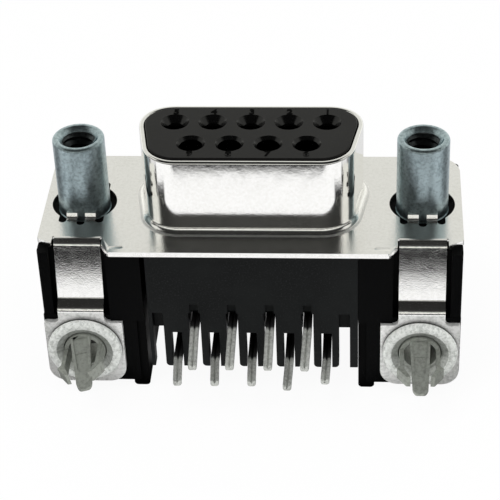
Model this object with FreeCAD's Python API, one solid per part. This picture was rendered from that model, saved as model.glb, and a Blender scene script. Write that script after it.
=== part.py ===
import FreeCAD, Part
import math
import os

# Right-angle nine-way socket connector with a front metal shell. Sizes are in millimetres.
# The D cup's axis is x = y = 0 and the flange's front face is z = 0. +Z points out of the
# mating face, -Y points at the circuit board and +X is to the right of the mating face.

# Contact field
far_row_count = 5
near_row_count = 4
contact_pitch = 2.77
row_spacing = 2.84
tail_row_depth = 8.5          # flange front to the middle of the two rows of tails

# Drawn and folded shell
sheet = 0.4
cup_end_margin = 2.625        # outermost contact axis to the end of the cup
cup_side_margin = 2.42        # contact row to the long side of the cup
cup_reach = 6.1
cup_slope = 10.0              # lean of the two ends of the D, in degrees
cup_corner_radius = 2.5
cup_root_radius = 0.55
cup_rim_radius = 0.12
jack_margin = 4.33            # end of the cup to the axis of a screwlock
flange_end_margin = 2.91      # axis of a screwlock to the end of the flange
flange_side_margin = 2.435    # long side of the cup to the edge of the flange
flange_corner_radius = 2.0
flange_chamfer_across = 0.65
flange_edge_radius = 0.2
jack_hole_radius = 2.4
finger_width = 0.78
finger_slot_width = 0.58
middle_slot_reach = 2.9
side_slot_reach = 2.6
finger_rise = 0.15
finger_bend_radius = 0.1
finger_gap = 0.02             # tip of a finger to the post
dimple_length = 1.1
dimple_width = 0.36
dimple_depth = 0.08
dimple_inset = 0.6            # edge of the flange to the middle of a dimple
dimple_offset = 0.55          # end of the front edge to the middle of a dimple
full_round = 0.99             # share of a half width that rounds an end fully

# Ground straps and their pads
strap_width = 3.4
strap_inset = 0.975           # edge of the flange to the outer face of a strap
fold_radius = 0.25
notch_slant = 0.55
notch_relief = 0.12
notch_lead = 0.1              # outer face of a strap to the flange's corners beside it
strap_root = 1.0              # how far a strap runs into the flange
jog_depth = 4.75              # flange front to the start of the jog
jog_drop = 0.5
jog_out = 0.95
pad_width = 5.8
pad_top_margin = 2.35         # eyelet axis to the shoulders of a pad
pad_bottom_margin = 3.2       # eyelet axis to the lower edge of a pad
pad_corner_radius = 1.3
pad_neck_radius = 0.35

# Mating-face block
face_gap = 0.03               # cup wall to block
face_rise = 0.1               # block's face beyond the rim of the cup
face_edge_radius = 0.1
collar_thickness = 1.4
collar_overlap = 0.75         # collar beyond the inside of the cup, on the long sides
funnel_radius = 1.04
funnel_depth = 0.5
entry_radius = 0.62
entry_depth = 0.95            # face to the end of the narrow entry
cavity_gap = 0.07             # socket barrel to cavity wall

# Formed contacts
barrel_radius = 0.72
pin_bore_radius = 0.525
pin_bore_depth = 5.0
barrel_mouth_gap = 0.1        # end of the narrow entry to the mouth of the barrel
tine_slot_width = 0.2
tine_slot_depth = 3.4
tail_width = 0.64
tail_thickness = 0.46
tail_groove_width = 0.2       # V-shaped
tail_groove_depth = 0.22
tail_edge_radius = 0.1
tail_bend_radius = 0.75
far_tail_length = 2.9         # comb face to the tip
near_tail_length = 3.65
tail_tip_radius = 0.24
lean_start = 0.1              # comb face to the start of a leaning tail
lean_radius = 1.2
sway_start = 0.1              # end of the lean to the start of a sideways bend
far_tail_lean = 0.0           # degrees towards the flange
near_tail_lean = -10.0
bent_tails = {1: 7.0, 2: -6.0}                        # more lean, by the contact's number
swayed_tails = {1: -1.4, 2: -1.7, 3: 2.1, 4: 3.4, 5: 3.8, 6: -2.0, 9: 1.4}    # degrees to the right

# Contact block with its comb
seat_gap = 0.02               # between pieces that seat face to face
block_end_margin = 2.31       # outermost contact axis to the right-hand end of the block
block_play = 0.32             # how much shorter the block is at its left-hand end
block_rear_margin = 0.62      # near row of tails to the rear of the body
strap_setback = 0.7           # face that looks at the circuit board to the outer face of a strap
comb_thickness = 1.0
comb_margin = 0.78            # far row of tails to the ends of the teeth
comb_gap_width = 0.86
comb_gap_rise = 1.38          # near row of tails to the top of an open gap
comb_slot_width = 0.8
comb_slot_rise = 2.42         # far row of tails to the top of its slots
end_gap_width = 0.8
end_gap_offset = 1.32         # outermost contact axis to the middle of an end gap
tooth_radius = 0.3
relief_width = 0.62
relief_height = 0.8
relief_depth = 0.35
contact_play = 0.06           # contact strip to its hole in the block

# Outer bracket
bracket_inset = 0.06          # end of the flange to the end of the bracket
bracket_top_inset = 0.275     # edge of the flange to the top face
top_wall = 1.1
side_wall = 1.2
side_wall_setback = 0.5       # board face to the front of a side wall
rear_margin = 0.77            # foot to the rear ends of the side walls
channel_inner_gap = 0.42
channel_outer_gap = 0.35
outer_post_setback = 0.2
foot_thickness = 2.6
foot_drop = 0.2               # foot beyond the lower edge of its pad
moulding_radius = 0.3

# Screwlocks
post_radius = 1.9
post_height = 5.8
post_edge_radius = 0.22
post_collar_rise = 0.05       # collar's radius beyond the post's
post_collar_height = 0.03
thread_bore_radius = 1.18
thread_mouth_radius = 1.5
thread_depth = 5.3
stem_radius = 1.45
stem_length = 5.2
drill_point = 0.5

# Eyelets
eyelet_drop = 0.33            # middle of the rows of tails to the eyelet's axis
eyelet_inset = 0.1            # axis of a screwlock to the axis of its eyelet
ring_radius = 2.78
ring_thickness = 0.55
ring_edge_radius = 0.4
ring_foot_radius = 0.06
flare_edge_radius = 0.25
eyelet_bore_radius = 1.58
eyelet_mouth_radius = 2.1
eyelet_mouth_depth = 0.36
eyelet_wall = 0.3
eyelet_gap = 0.04             # barrel to the holes it passes through
tail_flare_radius = 2.3
tail_flare_thickness = 0.35

# Boardlocks
lock_gap = 0.05               # sleeve to the bore of its eyelet
lock_sheet = 0.3
lock_edge_radius = 0.1
lock_sleeve_length = 2.4
lock_sleeve_inset = 0.15      # ring face to the front edge of the sleeve
leg_width = 0.9
barb_spread = 1.7
barb_reach = 1.98             # ring face to the points of the barbs
barb_rise = 0.3
leg_tip_spread = 0.72
leg_reach = 2.95
spoon_width = 1.5             # where it leaves the sleeve
spoon_tip_width = 1.1
spoon_reach = 3.85            # ring face to its tip
spoon_drop = 1.71             # how far it slants down, from the top of the sleeve to its tip
spoon_rim_height = 0.14
spoon_rim_width = 0.18
spoon_tip_land = 1.3          # end of the hollow to the tip
spoon_nick = 0.08             # width and depth of the nick across the hollow
spoon_nick_reach = 1.0        # ring face to the nick
left_lock_turn = -12.0        # degrees about its own axis, as seen from the circuit board
left_spoon_sway = 5.0         # degrees to the right
right_lock_turn = 0.0
right_spoon_sway = 0.0

# Values that follow
far_row_y = row_spacing / 2
near_row_y = -row_spacing / 2
row_half_span = (far_row_count - 1) * contact_pitch / 2
cup_width = 2 * (row_half_span + cup_end_margin)
cup_height = row_spacing + 2 * cup_side_margin
jack_x = cup_width / 2 + jack_margin
flange_half_width = jack_x + flange_end_margin
flange_half_height = cup_height / 2 + flange_side_margin
strap_reach = flange_half_height - strap_inset
strap_inner_x = jack_x - strap_width / 2
strap_outer_x = jack_x + strap_width / 2
pad_face = strap_reach + jog_out
board_face = strap_reach + strap_setback
flange_back = -sheet
housing_front = flange_back - seat_gap
collar_back = housing_front - collar_thickness
body_front = collar_back - seat_gap
block_right = row_half_span + block_end_margin
block_left = block_play - block_right
near_tail_depth = tail_row_depth - row_spacing / 2
far_tail_depth = tail_row_depth + row_spacing / 2
block_depth = near_tail_depth + block_rear_margin
comb_back = comb_thickness - board_face
comb_depth = far_tail_depth + comb_margin
comb_gap_depth = near_tail_depth - comb_gap_rise
comb_slot_depth = far_tail_depth - comb_slot_rise
wall_inner_x = block_right + seat_gap
wall_outer_x = wall_inner_x + side_wall
bracket_half_width = flange_half_width - bracket_inset
bracket_top = flange_half_height - bracket_top_inset
top_inner = bracket_top - top_wall
foot_front = -(pad_face - sheet - seat_gap)
foot_back = foot_front + foot_thickness
eyelet_z = -tail_row_depth - eyelet_drop
eyelet_x = jack_x - eyelet_inset
pad_bottom = eyelet_z - pad_bottom_margin
foot_bottom = pad_bottom - foot_drop
rear_depth = rear_margin - foot_bottom
end_block_bottom = eyelet_z + pad_top_margin + seat_gap
ring_face = -(pad_face + seat_gap + ring_thickness)
face_front = cup_reach + face_rise
barrel_front = face_front - entry_depth - barrel_mouth_gap
tolerance = 1e-4
x_axis = FreeCAD.Vector(1, 0, 0)
y_axis = FreeCAD.Vector(0, 1, 0)
z_axis = FreeCAD.Vector(0, 0, 1)


def on_xy(a, b):
    return FreeCAD.Vector(a, b, 0)


def on_xz(a, b):
    return FreeCAD.Vector(a, 0, b)


def on_yz(a, b):
    return FreeCAD.Vector(0, a, b)


def profile(corners, place):
    """Face inside a ring of corners (a, b, radius), in the plane that place lays out."""
    ring = [FreeCAD.Vector(a, b, 0) for a, b, radius in corners]
    stretches = []
    for i, (a, b, radius) in enumerate(corners):
        before = (ring[i - 1] - ring[i]).normalize()
        after = (ring[(i + 1) % len(ring)] - ring[i]).normalize()
        if radius == 0:
            stretches.append((ring[i], None, ring[i]))
            continue
        half = before.getAngle(after) / 2
        inwards = (before + after).normalize()
        middle = ring[i] + inwards * (radius / math.sin(half) - radius)
        run = radius / math.tan(half)
        stretches.append((ring[i] + before * run, middle, ring[i] + after * run))
    edges = []
    for i, (first, middle, last) in enumerate(stretches):
        previous = stretches[i - 1][2]
        if (first - previous).Length > tolerance:
            edges.append(Part.LineSegment(place(previous.x, previous.y), place(first.x, first.y)).toShape())
        if middle is not None:
            points = [place(p.x, p.y) for p in (first, middle, last)]
            edges.append(Part.Arc(*points).toShape())
    return Part.Face(Part.Wire(edges))


def folded_strip(path, thickness, inside_radius):
    """Corners of a folded strip: along the path, and back at its thickness to the left of it."""
    points = [FreeCAD.Vector(a, b, 0) for a, b in path]
    headings = [(points[i + 1] - points[i]).normalize() for i in range(len(points) - 1)]
    normals = [FreeCAD.Vector(-heading.y, heading.x, 0) for heading in headings]
    base = []
    offset = []
    for i, point in enumerate(points):
        before = normals[max(i - 1, 0)]
        after = normals[min(i, len(normals) - 1)]
        shift = (before + after) * (thickness / (1 + before.dot(after)))
        end = i in (0, len(points) - 1)
        turns_left = before.cross(after).z > 0
        base_radius = 0 if end else inside_radius + (thickness if turns_left else 0)
        offset_radius = 0 if end else inside_radius + (0 if turns_left else thickness)
        base.append((point.x, point.y, base_radius))
        offset.append((point.x + shift.x, point.y + shift.y, offset_radius))
    return base + offset[::-1]


def prism(face, direction, start, end):
    """Solid that a face at the origin plane makes from start to end along a direction."""
    return face.translated(direction * start).extrude(direction * (end - start))


def block(x0, x1, y0, y1, z0, z1):
    return Part.makeBox(x1 - x0, y1 - y0, z1 - z0, FreeCAD.Vector(x0, y0, z0))


def round_bar(radius, start, end):
    """Cylinder between two points."""
    return Part.makeCylinder(radius, (end - start).Length, start, end - start)


def upright_bar(radius, x, y, z0, z1):
    return round_bar(radius, FreeCAD.Vector(x, y, z0), FreeCAD.Vector(x, y, z1))


def board_bar(radius, x, z, y0, y1):
    return round_bar(radius, FreeCAD.Vector(x, y0, z), FreeCAD.Vector(x, y1, z))


def joined(shapes):
    return shapes[0].multiFuse(shapes[1:]).removeSplitter()


def both_sides(shape):
    """A right-hand shape and its mirror image on the left."""
    return [shape, shape.mirror(FreeCAD.Vector(0, 0, 0), x_axis)]


def rounded(solid, radius, wanted):
    """Solid with the edges that wanted picks rounded."""
    edges = [edge for edge in solid.Edges if wanted(edge.BoundBox)]
    return solid.makeFillet(radius, edges)


def flat_at(box, z):
    return abs(box.ZMin - z) < tolerance and abs(box.ZMax - z) < tolerance


def on_cup(box, inset):
    """True for a level edge that lies on the cup's outline, inset from its outside."""
    across = max(abs(box.XMin), abs(box.XMax)) < cup_width / 2 - inset + tolerance
    return across and max(-box.YMin, box.YMax) < cup_height / 2 - inset + tolerance


def row_x(count):
    """Places of the contacts in a row, left to right."""
    return [(i - (count - 1) / 2) * contact_pitch for i in range(count)]


def cup_face(inset):
    """D outline, inset from the outside of the cup; its wide side is at +Y."""
    slope = math.radians(cup_slope)
    half_width = cup_width / 2 - inset
    half_height = cup_height / 2 - inset
    radius = cup_corner_radius - inset
    lean = math.tan(slope)
    middle = half_width - (half_height - radius) * lean + radius * (1 / math.cos(slope) - 1)
    wide = middle + half_height * lean
    narrow = middle - half_height * lean
    return profile([(-narrow, -half_height, radius), (narrow, -half_height, radius),
                    (wide, half_height, radius), (-wide, half_height, radius)], on_xy)


def flange_face():
    """Flange outline, with the two notches from which the straps fold."""
    notch_floor = fold_radius + sheet - strap_reach
    front_half = strap_inner_x - notch_relief - notch_slant
    shoulder = notch_lead - strap_reach
    right = [(front_half, -flange_half_height, flange_edge_radius),
             (strap_inner_x - notch_relief, shoulder, 0),
             (strap_inner_x - notch_relief, notch_floor, 0),
             (strap_outer_x + notch_relief, notch_floor, 0),
             (strap_outer_x + notch_relief, shoulder, 0),
             (flange_half_width, shoulder + flange_chamfer_across, flange_edge_radius),
             (flange_half_width, flange_half_height, flange_corner_radius)]
    left = [(-a, b, radius) for a, b, radius in reversed(right)]
    return profile(right + left, on_xy)


def finger_cuts():
    """Hole round the right-hand screwlock, with the slots that free its four fingers."""
    cuts = [upright_bar(jack_hole_radius, jack_x, 0, -sheet, 0)]
    step = finger_width + finger_slot_width
    for offset, reach in ((-step, side_slot_reach), (0, middle_slot_reach), (step, side_slot_reach)):
        half = finger_slot_width / 2
        slot = block(jack_x + offset - half, jack_x + offset + half, half - reach, reach - half, -sheet, 0)
        ends = [upright_bar(half, jack_x + offset, side * (reach - half), -sheet, 0) for side in (-1, 1)]
        cuts += [slot] + ends
    return cuts


def fingers():
    """Four raised spring fingers that reach the right-hand screwlock."""
    root = middle_slot_reach
    bend = root - finger_slot_width / 2
    path = [(sheet - post_radius, finger_rise), (-bend, 0), (-root - sheet, 0)]
    strip = profile(folded_strip(path, sheet, finger_bend_radius), on_yz)
    centre = (finger_width + finger_slot_width) / 2
    front = [prism(strip, x_axis, jack_x + side * centre - finger_width / 2,
                   jack_x + side * centre + finger_width / 2) for side in (-1, 1)]
    back = [finger.mirror(FreeCAD.Vector(0, 0, 0), y_axis) for finger in front]
    clear = upright_bar(post_radius + finger_gap, jack_x, 0, -sheet, finger_rise + sheet)
    return [finger.cut(clear) for finger in front + back]


def strap():
    """Right-hand ground strap and its pad, folded down from the flange."""
    path = [(strap_root - strap_reach, 0), (-strap_reach, 0), (-strap_reach, -jog_depth),
            (-pad_face, -jog_depth - jog_drop), (-pad_face, eyelet_z + pad_top_margin - sheet)]
    corners = folded_strip(path, sheet, fold_radius)
    ribbon = prism(profile(corners, on_yz), x_axis, strap_inner_x, strap_outer_x)
    pad_top = eyelet_z + pad_top_margin
    half = pad_width / 2
    neck = strap_width / 2
    outline = [(-half, pad_bottom, pad_corner_radius), (half, pad_bottom, pad_corner_radius),
               (half, pad_top, 0), (neck, pad_top, pad_neck_radius),
               (neck, pad_top + 2 * pad_neck_radius, 0), (-neck, pad_top + 2 * pad_neck_radius, 0),
               (-neck, pad_top, pad_neck_radius), (-half, pad_top, 0)]
    plate = prism(profile(outline, on_xz), y_axis, -pad_face, sheet - pad_face)
    plate = plate.translated(x_axis * eyelet_x)
    hole = board_bar(eyelet_bore_radius + eyelet_wall + eyelet_gap, eyelet_x, eyelet_z, -pad_face, 0)
    return joined([ribbon, plate.cut(hole)])


def dimple():
    """Shallow stamped mark at the right-hand end of the flange's front edge."""
    x = strap_inner_x - notch_relief - notch_slant - dimple_offset
    y = dimple_inset - flange_half_height
    half = dimple_width / 2
    reach = dimple_length / 2
    corners = [(x - reach, y - half, half * full_round), (x + reach, y - half, half * full_round),
               (x + reach, y + half, half * full_round), (x - reach, y + half, half * full_round)]
    return prism(profile(corners, on_xy), z_axis, -dimple_depth, 0)


def front_shell():
    """Drawn cup, flange, spring fingers and ground straps, in one piece of sheet."""
    flange = prism(flange_face(), z_axis, flange_back, 0)
    cup = prism(cup_face(0), z_axis, flange_back, cup_reach)
    shell = joined([flange, cup])
    shell = rounded(shell, cup_root_radius, lambda box: flat_at(box, 0) and on_cup(box, 0))
    shell = shell.cut(prism(cup_face(sheet), z_axis, flange_back, cup_reach))
    shell = rounded(shell, cup_root_radius + sheet,
                    lambda box: flat_at(box, flange_back) and on_cup(box, sheet))
    shell = rounded(shell, cup_rim_radius, lambda box: flat_at(box, cup_reach))
    cuts = []
    for cut in finger_cuts() + [dimple()]:
        cuts += both_sides(cut)
    shell = shell.cut(cuts)
    additions = []
    for addition in fingers() + [strap()]:
        additions += both_sides(addition)
    return joined([shell] + additions)


def contact_places():
    """Number, x and y of each contact; 1 is at the right of the far row, and they run to the left."""
    far = [(far_row_count - i, x, far_row_y) for i, x in enumerate(row_x(far_row_count))]
    last = far_row_count + near_row_count
    near = [(last - i, x, near_row_y) for i, x in enumerate(row_x(near_row_count))]
    return far + near


def face_insulator():
    """D-shaped block with a collar behind the flange and a stepped hole for each contact."""
    body = prism(cup_face(sheet + face_gap), z_axis, collar_back, face_front)
    body = rounded(body, face_edge_radius, lambda box: flat_at(box, face_front))
    collar_y = cup_height / 2 - sheet + collar_overlap
    collar = block(block_left, block_right, -collar_y, collar_y, collar_back, housing_front)
    body = joined([body, collar])
    holes = []
    for number, x, y in contact_places():
        mouth = FreeCAD.Vector(x, y, face_front)
        holes.append(Part.makeCone(funnel_radius, entry_radius, funnel_depth, mouth, -z_axis))
        holes.append(upright_bar(entry_radius, x, y, face_front - entry_depth, face_front))
        holes.append(upright_bar(barrel_radius + cavity_gap, x, y, collar_back, face_front - entry_depth))
    return body.cut(holes)


def comb_opening(x, width, depth):
    """Opening in the comb plate, from the ends of the teeth up to a depth behind the flange."""
    return block(x - width / 2, x + width / 2, -board_face, comb_back, -comb_depth - tooth_radius, -depth)


def comb_plate():
    """Plate with open gaps for the near row, slots for the far row and one gap beyond each end."""
    plate = block(block_left, block_right, -board_face, comb_back, -comb_depth, housing_front)
    end_x = row_half_span + end_gap_offset
    gaps = [comb_opening(x, comb_gap_width, comb_gap_depth) for x in row_x(near_row_count)]
    gaps += [comb_opening(x, end_gap_width, comb_gap_depth) for x in (-end_x, end_x)]
    plate = rounded(plate.cut(gaps), tooth_radius, tooth_corner)
    slots = [comb_opening(x, comb_slot_width, comb_slot_depth) for x in row_x(far_row_count)]
    reliefs = [block(x - relief_width / 2, x + relief_width / 2, -board_face, relief_depth - board_face,
                     -comb_gap_depth, relief_height - comb_gap_depth) for x in row_x(near_row_count)]
    return plate.cut(slots + reliefs)


def tooth_corner(box):
    """True for the edges through the plate at the ends of the comb's teeth, beside its gaps."""
    across = box.YMax - box.YMin
    on_tooth = max(-box.XMin, box.XMax) < row_half_span + end_gap_offset
    return abs(across - comb_thickness) < tolerance and box.ZMax < tolerance - comb_depth and on_tooth


def contact_block():
    """Rear block that holds the contacts, with the comb that guides their tails."""
    body = block(block_left, block_right, comb_back, top_inner - seat_gap, -block_depth, body_front)
    passages = []
    half = tail_width / 2 + contact_play
    deep = tail_thickness / 2 + contact_play
    for number, x, y in contact_places():
        passages.append(block(x - half, x + half, y - deep, y + deep, -block_depth, body_front))
    channel_top = tail_bend_radius - near_tail_depth
    for x in row_x(near_row_count):
        passages.append(block(x - half, x + half, comb_back, near_row_y, -block_depth, channel_top))
    return joined([comb_plate(), body]).cut(passages)


def side_frame():
    """Right-hand half of the bracket: side wall, end block, outer post and foot."""
    channel_inner = strap_inner_x - channel_inner_gap
    channel_outer = strap_outer_x + channel_outer_gap
    channel_floor = sheet + seat_gap - strap_reach
    wall_middle = wall_outer_x - side_wall / 2
    outline = [(wall_middle, -board_face, 0), (channel_inner, -board_face, 0),
               (channel_inner, channel_floor, 0), (channel_outer, channel_floor, 0),
               (channel_outer, outer_post_setback - board_face, 0),
               (bracket_half_width, outer_post_setback - board_face, moulding_radius),
               (bracket_half_width, bracket_top, moulding_radius),
               (wall_middle, bracket_top, 0)]
    end_block = prism(profile(outline, on_xy), z_axis, end_block_bottom, housing_front)
    wall = block(wall_inner_x, wall_outer_x, side_wall_setback - board_face, bracket_top,
                 -rear_depth, housing_front)
    wall = rounded(wall, moulding_radius,
                   lambda box: flat_at(box, -rear_depth) and box.YMax - box.YMin > side_wall)
    inner_face = block(wall_inner_x, wall_outer_x, -board_face, comb_back, end_block_bottom, housing_front)
    foot_outline = [(wall_middle, foot_bottom, 0),
                    (bracket_half_width, foot_bottom, pad_corner_radius),
                    (bracket_half_width, end_block_bottom + sheet, 0),
                    (wall_middle, end_block_bottom + sheet, 0)]
    foot = prism(profile(foot_outline, on_xz), y_axis, foot_front, foot_back)
    bore_end = housing_front - stem_length - seat_gap
    bore = upright_bar(stem_radius + seat_gap, jack_x, 0, bore_end, housing_front)
    eyelet_hole = board_bar(eyelet_bore_radius + eyelet_wall + eyelet_gap, eyelet_x, eyelet_z,
                            foot_front, foot_back)
    fold_corners = [(channel_floor, housing_front, 0), (channel_floor + fold_radius, housing_front, 0),
                    (channel_floor, housing_front - fold_radius, 0)]
    fold_relief = prism(profile(fold_corners, on_yz), x_axis, channel_inner, channel_outer)
    return joined([wall, end_block, inner_face, foot]).cut([bore, eyelet_hole, fold_relief])


def bracket():
    """Outer moulding: two end frames joined by the top wall over the contacts."""
    top = block(-wall_outer_x, wall_outer_x, top_inner, bracket_top, -rear_depth, housing_front)
    return joined(both_sides(side_frame()) + [top])


def tail_section(x, y, z):
    """Cross-section of a tail, with the groove on the side that faces the board."""
    half = tail_width / 2
    front = y - tail_thickness / 2
    back = y + tail_thickness / 2
    groove = tail_groove_width / 2
    corners = [(x - half, front, tail_edge_radius), (x - groove, front, 0),
               (x, front + tail_groove_depth, 0), (x + groove, front, 0), (x + half, front, tail_edge_radius),
               (x + half, back, tail_edge_radius), (x - half, back, tail_edge_radius)]
    return profile(corners, on_xy).translated(z_axis * z)


def formed_strip(section, point, moves):
    """Pieces and end point of a strip that goes through straight runs and bends about an axis."""
    heading = -z_axis
    pieces = []
    for length, axis, turn, radius in moves:
        pieces.append(section.extrude(heading * length))
        section = section.translated(heading * length)
        point = point + heading * length
        if turn:
            centre = point + axis.cross(heading) * math.copysign(radius, turn)
            pieces.append(section.revolve(centre, axis, turn))
            section = section.rotated(centre, axis, turn)
            spin = FreeCAD.Rotation(axis, turn)
            point = centre + spin.multVec(point - centre)
            heading = spin.multVec(heading)
    return pieces, point


def tail_moves(number, y, barrel_back):
    """Runs and bends of a contact's strip, from its barrel to its tip."""
    far = y > 0
    lean = (far_tail_lean if far else near_tail_lean) + bent_tails.get(number, 0)
    sway = swayed_tails.get(number, 0)
    out = (far_tail_length if far else near_tail_length) - lean_start
    down = barrel_back + (far_tail_depth if far else near_tail_depth) - tail_bend_radius
    across = y - tail_bend_radius + board_face + lean_start
    return [(down, x_axis, -90, tail_bend_radius), (across, x_axis, -lean, lean_radius),
            (sway_start, z_axis, sway, lean_radius), (out - sway_start, x_axis, 0, 0)]


def contact(number, x, y):
    """Socket barrel with two tines, and a strip that bends down to the circuit board."""
    barrel_back = body_front + seat_gap
    barrel = upright_bar(barrel_radius, x, y, barrel_back, barrel_front)
    bore = upright_bar(pin_bore_radius, x, y, barrel_front - pin_bore_depth, barrel_front)
    slot = block(x - tine_slot_width / 2, x + tine_slot_width / 2, y - barrel_radius, y + barrel_radius,
                 barrel_front - tine_slot_depth, barrel_front)
    barrel = barrel.cut([bore, slot])
    start = FreeCAD.Vector(x, y, barrel_back)
    strip, tip = formed_strip(tail_section(x, y, barrel_back), start, tail_moves(number, y, barrel_back))
    half = tail_width / 2
    length = far_tail_length + near_tail_length
    plan = [(-half, 0, tail_tip_radius), (half, 0, tail_tip_radius), (half, length, 0), (-half, length, 0)]
    room = prism(profile(plan, on_xy), z_axis, -length, length)
    room = room.rotated(FreeCAD.Vector(0, 0, 0), z_axis, swayed_tails.get(number, 0)).translated(tip)
    return joined([barrel] + strip[:-1] + [strip[-1].common(room)])


def screwlock(x):
    """Turned post with a tapped hole, a collar at its foot and a stem in the bracket."""
    shoulder = housing_front + seat_gap
    collar_top = shoulder + post_collar_height
    collar_radius = post_radius + post_collar_rise
    mouth = thread_mouth_radius - thread_bore_radius
    corners = [(0, housing_front - stem_length, 0), (stem_radius, housing_front - stem_length, 0),
               (stem_radius, shoulder, 0), (collar_radius, shoulder, 0), (collar_radius, collar_top, 0),
               (post_radius, collar_top + post_collar_rise, 0),
               (post_radius, post_height, post_edge_radius), (thread_mouth_radius, post_height, 0),
               (thread_bore_radius, post_height - mouth, 0),
               (thread_bore_radius, post_height - thread_depth, 0),
               (0, post_height - thread_depth - drill_point, 0)]
    turned = profile(corners, on_xz).revolve(FreeCAD.Vector(0, 0, 0), z_axis, 360)
    return turned.translated(x_axis * x)


def eyelet(x):
    """Rolled eyelet: ring on the pad, barrel through pad and foot, flared end behind."""
    barrel = eyelet_bore_radius + eyelet_wall
    pad = -pad_face - seat_gap
    back = foot_back + seat_gap
    flare_back = back + tail_flare_thickness
    corners = [(eyelet_mouth_radius, ring_face, 0), (ring_radius, ring_face, ring_edge_radius),
               (ring_radius, pad, ring_foot_radius), (barrel, pad, 0), (barrel, back, 0),
               (tail_flare_radius, back, 0), (tail_flare_radius, flare_back, flare_edge_radius),
               (eyelet_bore_radius, flare_back, flare_edge_radius),
               (eyelet_bore_radius, ring_face + eyelet_mouth_depth, 0)]
    rolled = profile(corners, on_xy).revolve(FreeCAD.Vector(0, 0, 0), y_axis, 360)
    return rolled.translated(FreeCAD.Vector(x, 0, eyelet_z))


def chord_height(width):
    """How far from the axis a flat piece of this width lies when it just fits in the sleeve's circle."""
    return math.sqrt((eyelet_bore_radius - lock_gap) ** 2 - (width / 2) ** 2)


def lock_leg():
    """Right-hand barbed leg of a boardlock, about its own axis."""
    outer = chord_height(leg_width)
    root = ring_face + lock_sleeve_inset
    barb = ring_face - barb_reach
    tip = ring_face - leg_reach
    corners = [(outer - lock_sheet, root + lock_sheet, 0), (outer - lock_sheet, barb, 0),
               (leg_tip_spread, tip, 0), (leg_tip_spread + lock_sheet, tip, lock_edge_radius),
               (barb_spread, barb, 0), (outer, barb + barb_rise, 0), (outer, root + lock_sheet, 0)]
    return prism(profile(corners, on_xy), z_axis, -leg_width / 2, leg_width / 2)


def spoon_plan(margin, end_y, root_y):
    """Outline of a spoon from above, inset by a margin, with a round end."""
    half = spoon_width / 2 - margin
    tip_half = spoon_tip_width / 2 - margin
    radius = tip_half * full_round
    return profile([(-tip_half, end_y, radius), (tip_half, end_y, radius), (half, ring_face, 0),
                    (half, root_y, 0), (-half, root_y, 0), (-half, ring_face, 0)], on_xy)


def lock_spoon(sway):
    """Long spoon of a boardlock: from the top of the sleeve it slants down to a round tip."""
    root = ring_face + lock_sleeve_inset + lock_sheet
    level = chord_height(spoon_width)
    tip = ring_face - spoon_reach
    side = [(root, level - lock_sheet, 0), (root, level, 0), (ring_face, level, 0),
            (tip, level - spoon_drop, lock_edge_radius),
            (tip, level - spoon_drop - lock_sheet, lock_edge_radius), (ring_face, level - lock_sheet, 0)]
    spoon = prism(profile(side, on_yz), x_axis, -spoon_width, spoon_width)
    spoon = spoon.common(prism(spoon_plan(0, tip, root), z_axis, -ring_radius, ring_radius))
    slope = spoon_drop / spoon_reach
    floor = [(root, level - spoon_rim_height, 0), (ring_face, level - spoon_rim_height, 0),
             (tip, level - spoon_rim_height - spoon_drop, 0), (tip, ring_radius, 0), (root, ring_radius, 0)]
    hollow = prism(profile(floor, on_yz), x_axis, -spoon_width, spoon_width)
    hollow = hollow.common(prism(spoon_plan(spoon_rim_width, tip + spoon_tip_land, root), z_axis,
                                 -ring_radius, ring_radius))
    nick_y = ring_face - spoon_nick_reach
    nick_z = level - spoon_rim_height - slope * spoon_nick_reach
    inner = spoon_tip_width / 2 - spoon_rim_width
    nick = block(-inner, inner, nick_y - spoon_nick, nick_y, nick_z - spoon_nick, ring_radius)
    return spoon.cut([hollow, nick]).rotated(FreeCAD.Vector(0, root, 0), z_axis, sway)


def boardlock(x, turn, sway):
    """Split lock: sleeve in the eyelet, two barbed legs and a long spoon."""
    outer = eyelet_bore_radius - lock_gap
    front = ring_face + lock_sleeve_inset
    sleeve = board_bar(outer, 0, 0, front, front + lock_sleeve_length)
    sleeve = sleeve.cut(board_bar(outer - lock_sheet, 0, 0, front, front + lock_sleeve_length))
    legs = both_sides(lock_leg())
    lock = joined([sleeve] + legs + [lock_spoon(sway)])
    lock = lock.rotated(FreeCAD.Vector(0, 0, 0), y_axis, turn)
    return lock.translated(FreeCAD.Vector(x, 0, eyelet_z))


def all_parts():
    """Every sub-part by the name of its node."""
    parts = {"front_shell": front_shell(), "face_insulator": face_insulator(),
             "contact_block": contact_block(), "bracket": bracket()}
    for number, x, y in sorted(contact_places()):
        parts["contact_%d" % number] = contact(number, x, y)
    sides = (("left", -1, left_lock_turn, left_spoon_sway), ("right", 1, right_lock_turn, right_spoon_sway))
    for side, sign, turn, sway in sides:
        parts["screwlock_" + side] = screwlock(sign * jack_x)
        parts["eyelet_" + side] = eyelet(sign * eyelet_x)
        parts["boardlock_" + side] = boardlock(sign * eyelet_x, turn, sway)
    return parts


def main():
    os.makedirs("parts", exist_ok=True)
    for name, shape in all_parts().items():
        shape.exportStep("parts/%s.step" % name)
        print(name, "solids", len(shape.Solids), "valid", shape.isValid(), "volume", round(shape.Volume, 3))


main()
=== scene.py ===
import math

import bmesh
import bpy
from mathutils import Matrix, Vector


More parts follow.
